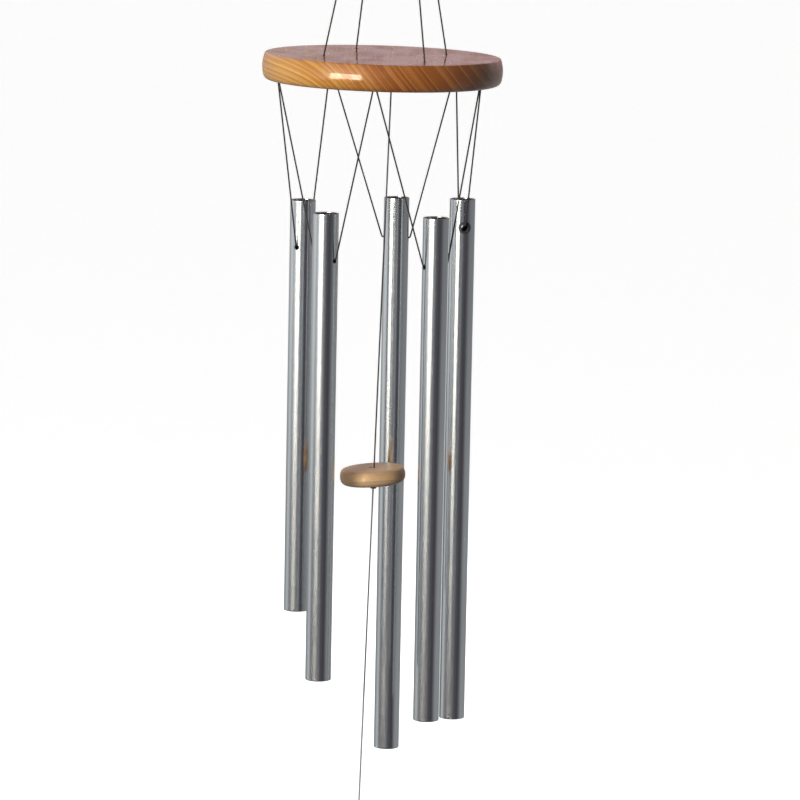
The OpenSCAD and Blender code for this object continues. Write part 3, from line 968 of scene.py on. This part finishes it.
WINDOW_FOOT, WINDOW_HEAD = (-4.6, -3.4), (13.0, 11.0)
WINDOW_LIGHT = (15.0, 13.6, 10.8)
SECOND_BOUNCE = 2.5
BACKDROP_LOW, BACKDROP_HIGH = (0.36, 0.255, 0.265), (0.78, 0.60, 0.61)
CEILING = (0.25, 0.25, 0.26)
HELD_FROM_MATT = 0.73
WHITE, BLACK = (1.0, 1.0, 1.0), (0.0, 0.0, 0.0)
# turn in degrees, height, distance and size in metres, power in watts
LAMPS = {
    "key": (-30, 0.75, 2.3, 0.7, 42.0),
    "side": (-84, 0.6, 2.3, 1.0, 14.0),
    "back": (152, 0.0, 2.3, 1.2, 34.0)}
FLOOR_HALF, FLOOR_DROP, FLOOR_GLOW = 30.0, 0.12, 0.87
DEGREE = 180 / math.pi


def wall_light(tree, turn, height):
    """Brightness of the walls round the studio, halved to stay within a ramp."""
    return ramp(tree, turn, [((wall[1] + 180) / 360, wall[height] / 2) for wall in WALLS], True)


def between(tree, value, start, end, kind="LINEAR"):
    return add(tree, "ShaderNodeMapRange", {0: value, 1: start, 2: end}, interpolation_type=kind).outputs[0]


def away_from(tree, angle, turn):
    """How far a direction is from a turn round the studio, in degrees."""
    return calc(tree, "ABSOLUTE", calc(tree, "MULTIPLY_ADD", angle, DEGREE, -turn))


def studio_walls(tree, angle, rise):
    """Walls with a broad softbox at the left front and shade under it, slightly tinted."""
    turn = calc(tree, "MULTIPLY_ADD", angle, 0.5 / math.pi, 0.5)
    apart = away_from(tree, angle, SOFTBOX_TURN)
    softbox = between(tree, apart, SOFTBOX_EDGE, SOFTBOX_CORE, "SMOOTHSTEP")
    glow = SOFTBOX_LIGHT / 2
    upper = mix(tree, softbox, wall_light(tree, turn, EYE_LEVEL), (glow, glow, glow), "ADD")
    shade = calc(tree, "MULTIPLY", softbox, SOFTBOX_SHADE)
    lower = mix(tree, shade, wall_light(tree, turn, LOW_DOWN), BLACK)
    walls = mix(tree, between(tree, rise, *WALL_FOOT), lower, upper)
    tint = ramp(tree, walls, [(0.04, (0.98, 0.92, 1.04)), (0.12, (0.96, 1.0, 1.02)), (0.6, WHITE)])
    return mix(tree, 1.0, mix(tree, 1.0, walls, tint, "MULTIPLY"), (2.0, 2.0, 2.0), "MULTIPLY")


def studio_window(tree, angle, rise, path):
    """A warm window in front of the softbox, faint after a second bounce and unseen by matt surfaces."""
    apart = away_from(tree, angle, WINDOW_TURN)
    window = calc(tree, "MULTIPLY", between(tree, rise, *WINDOW_FOOT), between(tree, rise, *WINDOW_HEAD))
    window = calc(tree, "MULTIPLY", window, between(tree, apart, *WINDOW_EDGE))
    direct = calc(tree, "LESS_THAN", path["Ray Depth"], SECOND_BOUNCE)
    window = calc(tree, "MULTIPLY", window, calc(tree, "MULTIPLY_ADD", direct, 0.9, 0.1))
    return calc(tree, "MULTIPLY", window, calc(tree, "SUBTRACT", 1.0, path["Is Diffuse Ray"]))


def make_studio_world():
    """Softbox at the left front, grey walls, a dark right front; the camera itself sees white."""
    world = bpy.data.worlds.new("studio")
    bpy.context.scene.world = world
    world.use_nodes = True
    world.cycles.sampling_method = "NONE"
    tree = world.node_tree
    tree.nodes.clear()
    coords = add(tree, "ShaderNodeTexCoord").outputs["Generated"]
    path = add(tree, "ShaderNodeLightPath").outputs
    parts = add(tree, "ShaderNodeSeparateXYZ", {0: coords}).outputs
    angle = calc(tree, "ARCTAN2", parts[0], calc(tree, "MULTIPLY", parts[1], -1.0))
    rise = calc(tree, "MULTIPLY", calc(tree, "ARCSINE", parts[2]), DEGREE)
    walls = studio_walls(tree, angle, rise)
    behind = calc(tree, "MULTIPLY", between(tree, parts[1], 0.5, 0.8), between(tree, rise, -1.0, 2.0))
    backdrop = mix(tree, between(tree, rise, 1.0, 12.0), BACKDROP_LOW, BACKDROP_HIGH)
    walls = mix(tree, behind, walls, backdrop)
    walls = mix(tree, between(tree, rise, 24.0, 60.0), walls, CEILING)
    walls = mix(tree, calc(tree, "MULTIPLY", path["Is Diffuse Ray"], HELD_FROM_MATT), walls, BLACK)
    lit = mix(tree, studio_window(tree, angle, rise, path), walls, WINDOW_LIGHT)
    shown = mix(tree, path["Is Camera Ray"], lit, WHITE)
    ground = add(tree, "ShaderNodeBackground", {0: shown, 1: 1.0})
    add(tree, "ShaderNodeOutputWorld", {0: ground.outputs[0]})


def make_lamp(name, turn, height, distance, size, energy):
    """A soft round lamp that mirrors and the camera don't see; its turn is from the camera's side."""
    lamp = bpy.data.lights.new(name, "AREA")
    lamp.shape = "DISK"
    lamp.size = size
    lamp.energy = energy
    thing = bpy.data.objects.new(name, lamp)
    bpy.context.scene.collection.objects.link(thing)
    target = (cad_box[0] + cad_box[1]) / 2
    a = math.radians(turn)
    thing.location = target + Vector((math.sin(a) * distance, -math.cos(a) * distance, height))
    thing.rotation_euler = (target - thing.location).to_track_quat("-Z", "Y").to_euler()
    thing.visible_glossy = False
    thing.visible_camera = False


def make_floor():
    """A plain pale floor well below the sail."""
    half, depth = FLOOR_HALF, cad_box[0].z - FLOOR_DROP
    corners = [(-half, -half, depth), (half, -half, depth), (half, half, depth), (-half, half, depth)]
    floor = new_object("floor", corners, [[0, 1, 2, 3]])
    material, tree = new_material("pale_floor")
    coords = add(tree, "ShaderNodeTexCoord").outputs["Object"]
    tint = mix(tree, noise(tree, coords, 3.0), (0.66, 0.66, 0.66), (0.70, 0.70, 0.70))
    surface(tree, Base_Color=tint, Roughness=0.9, Emission_Color=(1, 1, 1, 1), Emission_Strength=FLOOR_GLOW)
    floor.data.materials.append(material)
    floor.visible_glossy = False
    floor.visible_diffuse = False


CAMERA_LENS = 218.5
CAMERA_FROM_PLATFORM = Vector((15.2, -3065.1, 274.1)) * MM
CAMERA_DOWN, CAMERA_ROLL = math.radians(8.855), math.radians(1.117)


def make_camera():
    """A long lens a little above the platform, looking slightly down and rolled by about a degree."""
    place, _, _ = disc_place("platform")
    lens = bpy.data.cameras.new("camera")
    lens.lens = CAMERA_LENS
    camera = bpy.data.objects.new("camera", lens)
    bpy.context.scene.collection.objects.link(camera)
    spot = place.to_translation() + CAMERA_FROM_PLATFORM
    look = Matrix.Rotation(math.pi / 2 - CAMERA_DOWN, 4, "X") @ Matrix.Rotation(CAMERA_ROLL, 4, "Z")
    camera.matrix_world = Matrix.Translation(spot) @ look
    bpy.context.scene.camera = camera


make_chime()
make_studio_world()
for lamp_name, lamp_values in LAMPS.items():
    make_lamp(lamp_name, *lamp_values)
make_floor()
make_camera()
bpy.context.scene.view_settings.view_transform = "Standard"
